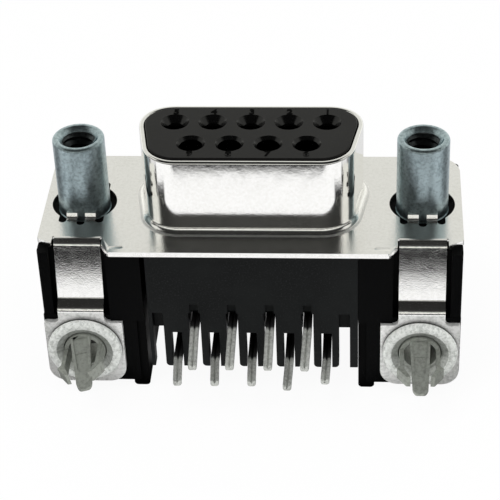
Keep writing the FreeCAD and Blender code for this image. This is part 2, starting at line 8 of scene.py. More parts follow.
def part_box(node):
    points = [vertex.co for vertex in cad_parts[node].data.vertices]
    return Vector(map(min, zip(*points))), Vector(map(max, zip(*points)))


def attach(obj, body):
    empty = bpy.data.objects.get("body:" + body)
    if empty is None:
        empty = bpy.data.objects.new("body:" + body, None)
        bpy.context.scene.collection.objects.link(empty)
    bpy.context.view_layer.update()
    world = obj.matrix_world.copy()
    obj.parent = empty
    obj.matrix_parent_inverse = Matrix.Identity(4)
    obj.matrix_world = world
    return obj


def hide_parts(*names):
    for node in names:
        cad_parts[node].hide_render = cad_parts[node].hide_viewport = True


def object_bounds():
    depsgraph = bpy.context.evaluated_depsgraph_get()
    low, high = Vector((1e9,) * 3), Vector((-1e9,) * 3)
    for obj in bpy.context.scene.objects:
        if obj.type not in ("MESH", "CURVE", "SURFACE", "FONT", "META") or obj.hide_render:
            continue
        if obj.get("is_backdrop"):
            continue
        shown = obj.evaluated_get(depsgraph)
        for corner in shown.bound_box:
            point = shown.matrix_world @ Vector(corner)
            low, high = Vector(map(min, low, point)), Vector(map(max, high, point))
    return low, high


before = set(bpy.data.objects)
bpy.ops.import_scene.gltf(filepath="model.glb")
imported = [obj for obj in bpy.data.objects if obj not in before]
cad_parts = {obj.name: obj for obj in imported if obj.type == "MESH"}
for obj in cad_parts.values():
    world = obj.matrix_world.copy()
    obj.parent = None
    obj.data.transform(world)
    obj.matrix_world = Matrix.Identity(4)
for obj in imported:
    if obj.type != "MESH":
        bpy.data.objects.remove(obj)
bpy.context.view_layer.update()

# Right-angle socket connector with a plated front shell. Sizes are in millimetres until a piece
# is finished. The D cup's axis is x = y = 0, the flange's front face is z = 0, +Z points out of
# the mating face and -Y points at the circuit board.

bpy.ops.object.select_all(action="DESELECT")

# Working units
mm = 0.001
near = 0.002                  # how close a point must be to count as chosen
flat_angle = 0.5              # degrees within which neighbouring faces are one
smooth_angle = 32             # degrees up to which an edge is shaded smooth
past = 1                      # how far a cutter goes past the piece
turned_sides = 96

# Front shell
sheet = 0.4
shell_edge = 0.05             # fine bevel on the sheet's edges
shell_crease = 50             # degrees from which an edge gets it
cup_half_width = 8.165
cup_half_height = 3.84
cup_slope = math.radians(10)
cup_corner = 2.5
cup_reach = 6.1
cup_root = 0.55               # inside radius of the bend between flange and cup
cup_rim = 0.2                 # rounding on the outer side of the rim
cup_lip = 0.17                # rounding on its inner side
cup_steps = 14                # in each corner of the D
flange_half_width = 15.405
flange_half_height = 6.275
flange_corner = 2.0
flange_nick = 0.2             # rounding of the small corners on the front edge
flange_side = -4.55           # where the flange's ends start
notch_mouth = -5.2
notch_relief = 0.12
notch_slant = 0.55
jack_x = 12.495
post_hole = 2.4
finger_width = 0.78
finger_slot = 0.58
finger_rise = 0.4
finger_gap = 0.02             # between a finger's tip and the post
finger_foot = 0.17            # from the tip to where the finger turns up
finger_bend = 0.22
finger_lean = 0.03
finger_edge = 0.03
finger_waste = 0.8            # share of the post's radius that the uncut finger reaches
slot_end = 0.98               # share of a slot's half width that its ends are rounded by
middle_slot_reach = 2.9
side_slot_reach = 2.6
dimple_half = (0.55, 0.18)
dimple_corner = 0.17
dimple_depth = 0.02
dimple_inset = 0.6            # from the flange's front edge

# Straps and pads of the shell
strap_half = 1.7
strap_root = -4.35
strap_top = -4.87             # the strap leans outwards from here
strap_middle = (-5.235, -2.4)
strap_end = -5.53
strap_bow = 150               # radius of its slight bow
fold_radius = 0.2
jog_depth = 4.75
jog_drop = 0.5
pad_face = 6.25
pad_half = 2.9
pad_corner = 1.3
pad_shoulder = 0.08
pad_neck = 0.35
pad_top = -6.48
pad_bottom = -12.03
pad_finish_top = -5.6         # the strap has the pad's matt finish below this
strap_outline_depth = 9
strap_hole_gap = 0.04
strap_hole_depth = 4
eyelet_x = 12.395
eyelet_z = -8.83

# Mating-face block
face_front = 6.2
face_gap = 0.03
face_edge = 0.12
collar_back = -1.82
collar_corner = 0.2
housing_front = -0.42
row_y = 1.42
contact_pitch = 2.77
funnel_radius = 1.04
funnel_depth = 0.5
entry_radius = 0.62
entry_depth = 0.95
cavity_radius = 0.79
digit_height = 0.62
digit_share = 0.7             # how much of a letter's size its height takes up
digit_swell = 0.025
digit_rise = 0.03
digit_offset = 1.36

# Screwlocks
post_radius = 1.9
post_height = 5.8
post_edge = 0.24
post_foot = 0.05              # how far the foot stands out
foot_top = (0.03, 0.08)       # heights at which it starts to narrow and ends
stem_radius = 1.45
stem_end = -5.62
mouth_radius = 1.52
mouth_break = (0.05, 0.03)
mouth_depth = 0.34
mouth_clear = 0.06            # how far its lower end stays outside the thread's crest
throat_depth = 0.4
throat_clear = 0.04
bore_top = 0.52
bore_shade = 0.36             # the bore's painted shade, a darker plating colour, starts this far below the top
bore_radius = 1.36
bore_bottom = 0.5
bore_tip = 0.05
thread_crest = 1.13
thread_pitch = 0.635
thread_turns = 7
thread_start = 0.3
thread_root = 0.03            # how deep the ridge is sunk into the wall
thread_flat = 0.06
thread_steps = 48             # in a turn

# Eyelets
ring_face = -6.82
ring_radius = 2.78
ring_thickness = 0.55
ring_edge = 0.34
ring_break = 0.06
eyelet_bore = 1.58
eyelet_mouth = 2.1
eyelet_break = (0.07, 0.03)
eyelet_lead = 0.36
lead_blend = (0.02, 0.1)
barrel_radius = 1.88
flare_radius = 2.3
flare_y = -3.21
flare_thickness = 0.35
flare_edge = 0.25

# Edges of the pieces that keep their solid's shape
lock_edge = 0.03
contact_edge = 0.07
plastic_edge = 0.05
solid_crease = 40             # degrees from which an edge is softened

# Finishes: depths of relief in metres, and shading and wear by place in millimetres
fine_relief = 0.00001
coarse_relief = 0.00002
tail_shade = (-6.35, -6.05)
tail_shade_colour = (0.03, 0.03, 0.03, 1)
shell_wear = ((-13, 1), (-6.5, 1), (-6.1, 0.25), (-4.4, 0.1), (-1, 0.1), (-0.4, 0.25),
              (0.1, 0.25), (0.4, 0.06), (2, 0.08), (2.6, 0), (7, 0))
foot_wear = (0.002, 0.01, 0.05, 0.09)    # a worn line at the foot of the cup
pad_metal = 0.55              # how metallic the most worn places stay

# Studio, in metres and, for stops, in shares of half a turn from the front
floor_size = 1.6
floor_edge = -0.0316          # nearer the front than this, the floor is dark in reflections
floor_fade = 0.0006
floor_circle = 0.0326         # past this circle its front sector is white
floor_sector = (1.2, 1.3)     # in radians, where that sector ends
floor_dark = 0.012
floor_whiteness = 0.94        # the rest of the floor's look is its own light and shadow
floor_flags = ((0, 1), (0.265, 1), (0.3, 0.012), (0.375, 0.012), (0.41, 0.75), (0.47, 0.75),
               (0.51, 0.2), (0.61, 0.2), (0.67, 0.75), (1, 0.8))
room_levels = ((0, 0.95), (0.085, 0.85), (0.12, 0.1), (0.22, 0.02), (0.6, 0.014),
               (0.69, 0.69), (0.85, 0.72), (0.95, 1), (1, 1))
side_strip = ((0, 0), (0.38, 0), (0.42, 0.8), (0.57, 0.8), (0.62, 0), (1, 0))
strip_heights = ((0, 0), (0.25, 0), (0.4, 1), (0.7, 1), (0.8, 0), (1, 0))
room_tint = (1, 1, 0.94, 1)
room_light = (0.7, 0.7, 0.7, 1)


# Choosing and editing

def everything(item):
    return True


def take(pieces):
    """Selects pieces, with the first of them active."""
    bpy.ops.object.select_all(action="DESELECT")
    for piece in pieces:
        piece.select_set(True)
    bpy.context.view_layer.objects.active = pieces[0]


def choose(piece, kind, wanted):
    """Goes into edit mode with only the vertices, edges or faces that wanted picks selected."""
    take([piece])
    bpy.ops.object.mode_set(mode="EDIT")
    bpy.ops.mesh.select_mode(type=kind)
    bpy.ops.mesh.select_all(action="DESELECT")
    mesh = bmesh.from_edit_mesh(piece.data)
    items = {"VERT": mesh.verts, "EDGE": mesh.edges, "FACE": mesh.faces}[kind]
    for item in items:
        if wanted(item):
            item.select_set(True)
    mesh.select_flush_mode()
    bmesh.update_edit_mesh(piece.data)


def leave():
    bpy.ops.object.mode_set(mode="OBJECT")


def modify(piece, kind, **settings):
    """Adds a modifier and applies it at once."""
    take([piece])
    modifier = piece.modifiers.new(kind.lower(), kind)
    for name, value in settings.items():
        setattr(modifier, name, value)
    bpy.ops.object.modifier_apply(modifier=modifier.name)


def soften(piece, width, angle):
    """Bevels the edges that are sharper than an angle in degrees."""
    modify(piece, "BEVEL", width=width, segments=2, limit_method="ANGLE",
           angle_limit=math.radians(angle), use_clamp_overlap=True)


def combine(piece, tools, operation):
    """Boolean of a piece with each tool, which is used up."""
    for tool in tools:
        modify(piece, "BOOLEAN", object=tool, operation=operation, solver="EXACT")
        bpy.data.objects.remove(tool)


def join(pieces):
    """Joins pieces into the first of them."""
    take(pieces)
    bpy.ops.object.join()


def outwards(piece):
    """Merges doubled points and turns the faces outwards."""
    choose(piece, "FACE", everything)
    bpy.ops.mesh.remove_doubles(threshold=near / 4)
    bpy.ops.mesh.normals_make_consistent(inside=False)
    leave()


def rectangle(left, right, low, high, radius):
    """Corners (x, y, radius) of a rectangle."""
    return [(left, low, radius), (right, low, radius), (right, high, radius), (left, high, radius)]


def rounded_face(name, corners, steps):
    """Flat face on the XY plane, from corners (x, y, radius) with arcs of so many steps."""
    bpy.ops.mesh.primitive_circle_add(vertices=len(corners), radius=1, fill_type="NGON")
    piece = bpy.context.object
    piece.name = name
    places = [Vector((x, y, 0)) for x, y, radius in corners]
    for vertex, place in zip(piece.data.vertices, places):
        vertex.co = place
    for i, place in enumerate(places):
        radius = corners[i][2]
        if radius:
            half = (places[i - 1] - place).angle(places[(i + 1) % len(places)] - place) / 2
            choose(piece, "VERT", lambda vertex: (vertex.co - place).length < near)
            bpy.ops.mesh.bevel(offset=radius / math.tan(half), segments=steps, affect="VERTICES")
            leave()
    return piece


def slab(name, corners, low, high, steps):
    """Plate between two heights above the XY plane."""
    piece = rounded_face(name, corners, steps)
    choose(piece, "FACE", everything)
    bpy.ops.mesh.extrude_region_move(TRANSFORM_OT_translate={"value": (0, 0, high - low)})
    leave()
    piece.data.transform(Matrix.Translation((0, 0, low)))
    outwards(piece)
    return piece


def stood_on_x(piece):
    """Turns a plate so that its outline lies in YZ and its thickness runs along X."""
    piece.data.transform(Matrix(((0, 0, 1, 0), (1, 0, 0, 0), (0, 1, 0, 0), (0, 0, 0, 1))))
    outwards(piece)
    return piece


def stood_on_y(piece):
    """Turns a plate so that its outline lies in XZ and its thickness runs along -Y."""
    piece.data.transform(Matrix.Rotation(math.pi / 2, 4, "X"))
    outwards(piece)
    return piece


def mirrored(piece, name):
    """Mirror image on the other side of X = 0."""
    twin = piece.copy()
    twin.data = piece.data.copy()
    twin.name = name
    bpy.context.scene.collection.objects.link(twin)
    twin.data.transform(Matrix.Scale(-1, 4, (1, 0, 0)))
    outwards(twin)
    return twin


def round_cutter(radius, depth, place, rotation=(0, 0, 0)):
    """Round cutter, centred on its place and along Z unless it is turned."""
    bpy.ops.mesh.primitive_cylinder_add(vertices=turned_sides, radius=radius, depth=depth,
                                        location=place, rotation=rotation)
    cutter = bpy.context.object
    bpy.ops.object.transform_apply()
    return cutter


def lathe(name, points, steps=turned_sides):
    """Turned piece about Z, from (radius, height) points."""
    bpy.ops.mesh.primitive_plane_add(size=1)
    piece = bpy.context.object
    piece.name = name
    choose(piece, "VERT", everything)
    bpy.ops.mesh.merge(type="CENTER")
    bpy.ops.transform.translate(value=(points[0][0], 0, points[0][1]))
    for before, after in zip(points, points[1:]):
        step = (after[0] - before[0], 0, after[1] - before[1])
        bpy.ops.mesh.extrude_region_move(TRANSFORM_OT_translate={"value": step})
    bpy.ops.mesh.select_all(action="SELECT")
    bpy.ops.mesh.spin(steps=steps, angle=2 * math.pi, center=(0, 0, 0), axis=(0, 0, 1))
    leave()
    outwards(piece)
    return piece


def arc(centre, radius, start, end, steps):
    """Points (a, b) along an arc, with angles in degrees."""
    turns = [math.radians(start + (end - start) * i / steps) for i in range(steps + 1)]
    return [(centre[0] + radius * math.cos(t), centre[1] + radius * math.sin(t)) for t in turns]


def finish_piece(piece, material, nodes):
    """Smooths a piece, brings it to metres and ties it to the frame."""
    piece.data.transform(Matrix.Scale(mm, 4))
    take([piece])
    bpy.ops.object.shade_smooth_by_angle(angle=math.radians(smooth_angle))
    modify(piece, "WEIGHTED_NORMAL", keep_sharp=True, weight=60)
    piece.data.materials.clear()
    piece.data.materials.append(material)
    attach(piece, "root")
    if nodes:
        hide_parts(*nodes)


def line_faces(piece, material, wanted):
    """Gives another material to the faces that wanted picks by their centre, in millimetres."""
    piece.data.materials.append(material)
    for face in piece.data.polygons:
        if wanted(face.center / mm):
            face.material_index = len(piece.data.materials) - 1


def dressed_copy(node, edge):
    """Copy of a solid, in millimetres, with merged faces and softened edges."""
    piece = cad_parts[node].copy()
    piece.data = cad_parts[node].data.copy()
    piece.name = node + "_finish"
    piece.parent = None
    for key in list(piece.keys()):
        del piece[key]
    bpy.context.scene.collection.objects.link(piece)
    piece.data.transform(Matrix.Scale(1 / mm, 4))
    choose(piece, "FACE", everything)
    bpy.ops.mesh.remove_doubles(threshold=near / 4)
    bpy.ops.mesh.dissolve_limited(angle_limit=math.radians(flat_angle))
    leave()
    soften(piece, edge, solid_crease)
    return piece


# Shader steps

def feed(tree, socket, value):
    """Links an output to a socket, or sets a plain number or colour there."""
    if isinstance(value, (int, float, tuple)):
        socket.default_value = value
    else:
        tree.links.new(value, socket)


def calculate(tree, operation, a, b=0):
    node = tree.nodes.new("ShaderNodeMath")
    node.operation = operation
    feed(tree, node.inputs[0], a)
    feed(tree, node.inputs[1], b)
    return node.outputs["Value"]


def times(tree, a, b):
    return calculate(tree, "MULTIPLY", a, b)


def plus(tree, a, b):
    return calculate(tree, "ADD", a, b)


def larger(tree, a, b):
    return calculate(tree, "MAXIMUM", a, b)


def spread(tree, value, low, high, out_low, out_high):
    """Value brought from one range to another, and kept inside it."""
    node = tree.nodes.new("ShaderNodeMapRange")
    node.inputs["From Min"].default_value = low
    node.inputs["From Max"].default_value = high
    node.inputs["To Min"].default_value = out_low
    node.inputs["To Max"].default_value = out_high
    feed(tree, node.inputs["Value"], value)
    return node.outputs["Result"]


def blend_colour(tree, amount, a, b, kind="MIX"):
    node = tree.nodes.new("ShaderNodeMix")
    node.data_type = "RGBA"
    node.blend_type = kind
    for socket, value in ((0, amount), (6, a), (7, b)):
        feed(tree, node.inputs[socket], value)
    return node.outputs[2]


def levels(tree, value, stops):
    """Grey level that follows a value through stops (place, level)."""
    ramp = tree.nodes.new("ShaderNodeValToRGB")
    ramp.color_ramp.interpolation = "EASE"
    elements = ramp.color_ramp.elements
    while len(elements) < len(stops):
        elements.new(0.5)
    for element, (place, level) in zip(elements, stops):
        element.position = place
        element.color = (level, level, level, 1)
    feed(tree, ramp.inputs["Fac"], value)
    return ramp.outputs["Color"]


def split(tree, label):
    """The three parts of one of the texture coordinates."""
    place = tree.nodes.new("ShaderNodeTexCoord")
    parts = tree.nodes.new("ShaderNodeSeparateXYZ")
    tree.links.new(place.outputs[label], parts.inputs["Vector"])
    return parts.outputs["X"], parts.outputs["Y"], parts.outputs["Z"]


def turn_from_front(tree, across, y):
    """Turn from -Y towards a part that lies across it, in radians."""
    return calculate(tree, "ARCTAN2", across, times(tree, y, -1))


def levels_by_turn(tree, turn, stops):
    """Grey level that follows a turn, through stops in shares of half a turn."""
    return levels(tree, calculate(tree, "DIVIDE", turn, math.pi), stops)


def noise(tree, scale, detail, rough=0.5):
    """Noise on the object's own coordinates; scale is in cells a metre."""
    place = tree.nodes.new("ShaderNodeTexCoord")
    node = tree.nodes.new("ShaderNodeTexNoise")
    feed(tree, node.inputs["Scale"], scale)
    node.inputs["Detail"].default_value = detail
    node.inputs["Roughness"].default_value = rough
    tree.links.new(place.outputs["Object"], node.inputs["Vector"])
    return node.outputs["Fac"]


# Shared effects

def new_group(name, inputs):
    """Node group with inputs (label, default), where a default of four numbers is a colour."""
    group = bpy.data.node_groups.new(name, "ShaderNodeTree")
    for label, value in inputs:
        kind = "NodeSocketColor" if isinstance(value, tuple) else "NodeSocketFloat"
        socket = group.interface.new_socket(label, in_out="INPUT", socket_type=kind)
        socket.default_value = value
    return group, group.nodes.new("NodeGroupInput").outputs


def close_group(group, **results):
    """Gives a node group its outputs."""
    for label in results:
        kind = "NodeSocketColor" if label == "Color" else "NodeSocketFloat"
        group.interface.new_socket(label, in_out="OUTPUT", socket_type=kind)
    made = group.nodes.new("NodeGroupOutput")
    for label, value in results.items():
        group.links.new(value, made.inputs[label])
    return group


def plating_group():
    """Plated sheet: cloudy stains, uneven gloss, a fine orange peel and a grain where worn."""
    group, given = new_group("plating_skin", [
        ("Clean", (0.8, 0.8, 0.8, 1)), ("Stain", (0.6, 0.6, 0.55, 1)), ("Gloss Low", 0.1),
        ("Gloss High", 0.2), ("Stain Amount", 0.5), ("Wear", 0.2)])
    clouds = plus(group, times(group, noise(group, 420, 5, 0.6), 0.3),
                  times(group, noise(group, 4200, 3, 0.6), 0.7))
    stained = times(group, spread(group, clouds, 0.44, 0.62, 0, 1), given["Stain Amount"])
    colour = blend_colour(group, stained, given["Clean"], given["Stain"])
    lift = spread(group, noise(group, 1600, 4, 0.6), 0.3, 0.7, 0, 1)
    gap = calculate(group, "SUBTRACT", given["Gloss High"], given["Gloss Low"])
    gloss = plus(group, given["Gloss Low"], times(group, lift, gap))
    gloss = plus(group, gloss, times(group, given["Wear"], 0.4))
    peel = times(group, noise(group, 5200, 3, 0.55), 0.1)
    dents = times(group, noise(group, 900, 2), 0.35)
    grain = times(group, times(group, noise(group, 9000, 2), given["Wear"]), 3)
    height = plus(group, plus(group, peel, dents), grain)
    return close_group(group, Color=colour, Roughness=gloss, Height=height)


def moulding_group():
    """Moulded plastic: fine grain, faint flow clouds and dust-pale specks."""
    group, given = new_group("moulded_grain", [
        ("Base", (0.02, 0.02, 0.02, 1)), ("Pale", (0.05, 0.05, 0.05, 1)),
        ("Grain Scale", 9000.0), ("Gloss", 0.5)])
    grain = noise(group, given["Grain Scale"], 3)
    clouds = spread(group, noise(group, 260, 4, 0.6), 0.35, 0.7, 0, 0.7)
    specks = spread(group, grain, 0.52, 0.75, 0, 1)
    mask = larger(group, times(group, clouds, 0.5), specks)
    colour = blend_colour(group, mask, given["Base"], given["Pale"])
    gloss = plus(group, given["Gloss"], spread(group, clouds, 0, 1, -0.06, 0.08))
    return close_group(group, Color=colour, Roughness=gloss, Height=grain)


plating_skin = plating_group()
moulded_grain = moulding_group()


# Finishes

def dressed_material(name, group, values, metallic, bump, distance, specular=0.5):
    """Material that takes colour, gloss and relief from a shared effect."""
    material = bpy.data.materials.new(name)
    material.use_nodes = True
    tree = material.node_tree
    shader = tree.nodes["Principled BSDF"]
    shader.inputs["Metallic"].default_value = metallic
    shader.inputs["Specular IOR Level"].default_value = specular
    effect = tree.nodes.new("ShaderNodeGroup")
    effect.node_tree = group
    for label, value in values.items():
        effect.inputs[label].default_value = value
    relief = tree.nodes.new("ShaderNodeBump")
    relief.inputs["Strength"].default_value = bump
    relief.inputs["Distance"].default_value = distance
    tree.links.new(effect.outputs["Color"], shader.inputs["Base Color"])
    tree.links.new(effect.outputs["Roughness"], shader.inputs["Roughness"])
    tree.links.new(effect.outputs["Height"], relief.inputs["Height"])
    tree.links.new(relief.outputs["Normal"], shader.inputs["Normal"])
    return material


def plated(name, clean, stain, gloss, stains, metallic, bump, relief=coarse_relief, **more):
    """Plated or tinned metal; gloss is its lowest and highest roughness."""
    values = {"Clean": (*clean, 1), "Stain": (*stain, 1), "Gloss Low": gloss[0],
              "Gloss High": gloss[1], "Stain Amount": stains, **more}
    return dressed_material(name, plating_skin, values, metallic, bump, relief)


def moulded(name, base, pale, grain_scale, gloss, bump, specular):
    """Moulded plastic."""
    values = {"Base": (*base, 1), "Pale": (*pale, 1), "Grain Scale": grain_scale, "Gloss": gloss}
    return dressed_material(name, moulded_grain, values, 0, bump, fine_relief, specular)


def effect_of(material):
    return next(node for node in material.node_tree.nodes if node.type == "GROUP")


def shade_by_depth(material, depths, shade):
    """Darkens a plated material behind a depth, as by what stands round it there."""
    tree = material.node_tree
    low, high = depths
    amount = spread(tree, split(tree, "Object")[1], low * mm, high * mm, 0, 1)
    shaded = blend_colour(tree, amount, effect_of(material).outputs["Color"], shade)
    tree.links.new(shaded, tree.nodes["Principled BSDF"].inputs["Base Color"])


def wear_by_height(material, stops):
    """Makes a plated material duller and grainier by height, and in a line above z = 0."""
    tree = material.node_tree
    low, high = stops[0][0], stops[-1][0]
    z = split(tree, "Object")[2]
    worn = levels(tree, spread(tree, z, low * mm, high * mm, 0, 1),
                  [((height - low) / (high - low), level) for height, level in stops])
    start, full, fading, gone = (height * mm for height in foot_wear)
    line = times(tree, spread(tree, z, start, full, 0, 1), spread(tree, z, fading, gone, 1, 0))
    tree.links.new(larger(tree, worn, line), effect_of(material).inputs["Wear"])
    tree.links.new(spread(tree, worn, 0.5, 1, 1, pad_metal),
                   tree.nodes["Principled BSDF"].inputs["Metallic"])


shell_plating = plated("shell_plating", (0.985, 0.98, 0.965), (0.88, 0.875, 0.845),
                       (0.055, 0.1), 0.5, 1, 1, fine_relief)
post_plating = plated("post_plating", (0.53, 0.645, 0.68), (0.26, 0.335, 0.365),
                      (0.22, 0.34), 0.8, 1, 0.8)
# Painted shade: a darker plating colour for the inside of a post's bore
post_bore_painted_shade = plated("post_bore_painted_shade", (0.12, 0.135, 0.14), (0.05, 0.056, 0.06),
                   (0.25, 0.4), 0.8, 1, 0.4, fine_relief)
eyelet_plating = plated("eyelet_plating", (0.97, 0.99, 0.96), (0.56, 0.585, 0.55),
                        (0.4, 0.55), 0.8, 0.45, 1, Wear=0.5)
pad_plating = plated("pad_plating", (1, 1, 0.985), (0.72, 0.735, 0.71),
                     (0.3, 0.42), 0.9, 0.7, 1, Wear=0.5)
# Painted shade: a darker plating colour for the eyelet's mouth
eyelet_mouth_plating = plated("eyelet_mouth_plating", (0.56, 0.58, 0.55), (0.32, 0.335, 0.31),
                              (0.36, 0.46), 0.9, 0.6, 0.8)
# Painted shade: near black for the eyelet's bore and a painted shadow line round the ring's outer
# edge
eyelet_bore_plating = plated("eyelet_bore_plating", (0.05, 0.052, 0.05), (0.02, 0.021, 0.02),
                             (0.4, 0.5), 0.8, 0.6, 0.5)
contact_tin = plated("contact_tin", (0.60, 0.615, 0.58), (0.34, 0.35, 0.33),
                     (0.34, 0.46), 0.9, 0.4, 0.5)
lock_tin = plated("lock_tin", (0.38, 0.40, 0.36), (0.23, 0.24, 0.215),
                  (0.4, 0.5), 0.7, 0.55, 0.5)
face_plastic = moulded("face_plastic", (0.0035, 0.0034, 0.0033), (0.011, 0.0106, 0.0102),
                       7000.0, 0.44, 0.25, 0.22)
# Glossier plastic for the holes, coloured darker than the face as painted shade inside them
hole_plastic_painted_shade = moulded("hole_plastic_painted_shade", (0.0012, 0.0012, 0.0012), (0.002, 0.002, 0.002),
                       7000.0, 0.26, 0.15, 0.4)
housing_plastic = moulded("housing_plastic", (0.0022, 0.0030, 0.0032), (0.0155, 0.0175, 0.0175),
                          8000.0, 0.5, 0.3, 0.13)
bracket_plastic = moulded("bracket_plastic", (0.0006, 0.00065, 0.0008), (0.0035, 0.0037, 0.004),
                          8000.0, 0.55, 0.3, 0.05)
# Painted shade: the raised digits are near black so that their strokes show dark
digit_relief_painted_shade = moulded("digit_relief_painted_shade", (0.0006, 0.0006, 0.0006), (0.0012, 0.0012, 0.0012),
                       7000.0, 0.6, 0.2, 0.02)
shade_by_depth(contact_tin, tail_shade, tail_shade_colour)
wear_by_height(shell_plating, shell_wear)


# Front shell

def d_corners(inset):
    """Corners of the D outline, inset from the outside of the cup, with its wide side at +Y."""
    radius = cup_corner - inset
    half_width = cup_half_width - inset
    half_height = cup_half_height - inset
    lean = math.tan(cup_slope)
    middle = half_width - (half_height - radius) * lean + radius * (1 / math.cos(cup_slope) - 1)
    wide = middle + half_height * lean
    narrow = middle - half_height * lean
    return [(-narrow, -half_height, radius), (narrow, -half_height, radius),
            (wide, half_height, radius), (-wide, half_height, radius)]


def d_solid(name, rings, steps=cup_steps):
    """D-shaped solid that rises through rings (inset, z); an inset never shrinks."""
    piece = rounded_face(name, d_corners(rings[0][0]), steps)
    piece.data.transform(Matrix.Translation((0, 0, rings[0][1])))
    choose(piece, "FACE", everything)
    for (inset, z), (next_inset, next_z) in zip(rings, rings[1:]):
        if next_inset == inset:
            bpy.ops.mesh.extrude_region_move(TRANSFORM_OT_translate={"value": (0, 0, next_z - z)})
        else:
            bpy.ops.mesh.inset(thickness=next_inset - inset, use_even_offset=True)
            bpy.ops.transform.translate(value=(0, 0, next_z - z))
    leave()
    outwards(piece)
    return piece


def root_rings(inset, radius, z):
    """Rings of the flare at the foot of a wall."""
    return [(inset + a, b) for a, b in arc((-radius, z + radius), radius, -90, 0, 8)]


def cup_outside():
    rings = [(-cup_root, -sheet / 2)] + root_rings(0, cup_root, 0)
    rim = arc((cup_rim, cup_reach - cup_rim), cup_rim, 180, 90, 5)
    return d_solid("shell", rings + rim)


def cup_inside():
    """Cutter for the hollow of the cup."""
    root = cup_root + sheet
    rings = [(sheet - root, -2 * sheet)] + root_rings(sheet, root, -sheet)
    return d_solid("cup_inside", rings + [(sheet, cup_reach + sheet)])


def cup_mouth():
    """Cutter that rounds the inner edge of the rim; its rings go down into the cup."""
    widest = sheet - cup_lip
    lip = arc((widest, cup_reach - cup_lip), cup_lip, 90, 0, 5)
    return d_solid("cup_mouth", [(widest, cup_reach + 2 * sheet), (widest, cup_reach)] + lip[1:])


def flange_plate():
    """Flange, with its front edge cut back round each strap."""
    inner = jack_x - strap_half - notch_relief
    outer = jack_x + strap_half + notch_relief
    right = [(inner - notch_slant, -flange_half_height, flange_nick), (inner, notch_mouth, 0),
             (inner, strap_root, 0), (outer, strap_root, 0), (outer, notch_mouth, 0),
             (flange_half_width, flange_side, flange_nick),
             (flange_half_width, flange_half_height, flange_corner)]
    left = [(-a, b, radius) for a, b, radius in reversed(right)]
    return slab("flange", right + left, -sheet, 0, steps=10)


def post_cuts(side):
    """Cutters for the hole round a post and the slots between its spring fingers."""
    cuts = [round_cutter(post_hole, 4 * sheet, (side * jack_x, 0, 0))]
    step = finger_width + finger_slot
    half = finger_slot / 2
    for offset, reach in ((-step, side_slot_reach), (0, middle_slot_reach),
                          (step, side_slot_reach)):
        x = side * jack_x + offset
        corners = rectangle(x - half, x + half, -reach, reach, half * slot_end)
        cuts.append(slab("slot", corners, -2 * sheet, 2 * sheet, steps=6))
    return cuts


def fingers(side):
    """Four spring fingers that rise to the post."""
    made = []
    tip = post_radius + finger_gap
    profile = [(middle_slot_reach, 0, 0), (tip + finger_foot, 0, finger_bend),
               (tip + finger_lean, finger_rise, finger_edge), (tip * finger_waste, finger_rise, 0),
               (tip * finger_waste, -sheet, 0), (middle_slot_reach, -sheet, 0)]
    for across in (-1, 1):
        for along in (-1, 1):
            x = side * jack_x + across * (finger_width + finger_slot) / 2
            corners = [(along * a, b, radius) for a, b, radius in profile]
            finger = stood_on_x(slab("finger", corners, x - finger_width / 2,
                                     x + finger_width / 2, steps=4))
            combine(finger, [round_cutter(tip, 4 * sheet, (side * jack_x, 0, 0))], "DIFFERENCE")
            made.append(finger)
    return made


def folded_strip(path, inside):
    """Corners of a folded strip of sheet: along the path and back at its thickness to the left."""
    points = [Vector((a, b, 0)) for a, b, bow in path]
    headings = [(after - before).normalized() for before, after in zip(points, points[1:])]
    normals = [Vector((-heading.y, heading.x, 0)) for heading in headings]
    base = []
    offset = []
    for i, point in enumerate(points):
        before = normals[max(i - 1, 0)]
        after = normals[min(i, len(normals) - 1)]
        shift = (before + after) * (sheet / (1 + before.dot(after)))
        end = i in (0, len(points) - 1)
        left = before.cross(after).z > 0
        radius = path[i][2] or inside
        base.append((point.x, point.y, 0 if end else radius + (sheet if left else 0)))
        offset.append((point.x + shift.x, point.y + shift.y,
                       0 if end else radius + (0 if left else sheet)))
    return base + offset[::-1]


def ground_strap():
    """Right-hand strap and pad, folded down from the flange, bent outwards and pierced."""
    pad_left = eyelet_x - pad_half
    pad_right = eyelet_x + pad_half
    left = jack_x - strap_half
    right = jack_x + strap_half
    path = [(strap_root, 0, 0), (strap_top, 0, 0), (*strap_middle, strap_bow),
            (strap_end, -jog_depth, 0), (-pad_face, -jog_depth - jog_drop, 0),
            (-pad_face, pad_bottom, 0)]
    corners = folded_strip(path, fold_radius)
    strap = stood_on_x(slab("strap", corners, pad_left, pad_right, steps=8))
    front = [(pad_left, pad_bottom, pad_corner), (pad_right, pad_bottom, pad_corner),
             (pad_right, pad_top, pad_shoulder), (right, pad_top, pad_neck), (right, past, 0),
             (left, past, 0), (left, pad_top, pad_neck), (pad_left, pad_top, pad_shoulder)]
    outline = stood_on_y(slab("outline", front, 0, strap_outline_depth, steps=8))
    combine(strap, [outline], "INTERSECT")
    hole = round_cutter(barrel_radius + strap_hole_gap, strap_hole_depth,
                        (eyelet_x, -pad_face, eyelet_z), (math.pi / 2, 0, 0))
    combine(strap, [hole], "DIFFERENCE")
    return strap


def dimple(side):
    """Cutter for a shallow dimple near each end of the flange's front edge."""
    half_width, half_height = dimple_half
    x = side * (jack_x - strap_half - notch_relief - notch_slant - half_width)
    y = dimple_inset - flange_half_height
    corners = rectangle(x - half_width, x + half_width, y - half_height, y + half_height,
                        dimple_corner)
    return slab("dimple", corners, -dimple_depth, past, steps=5)


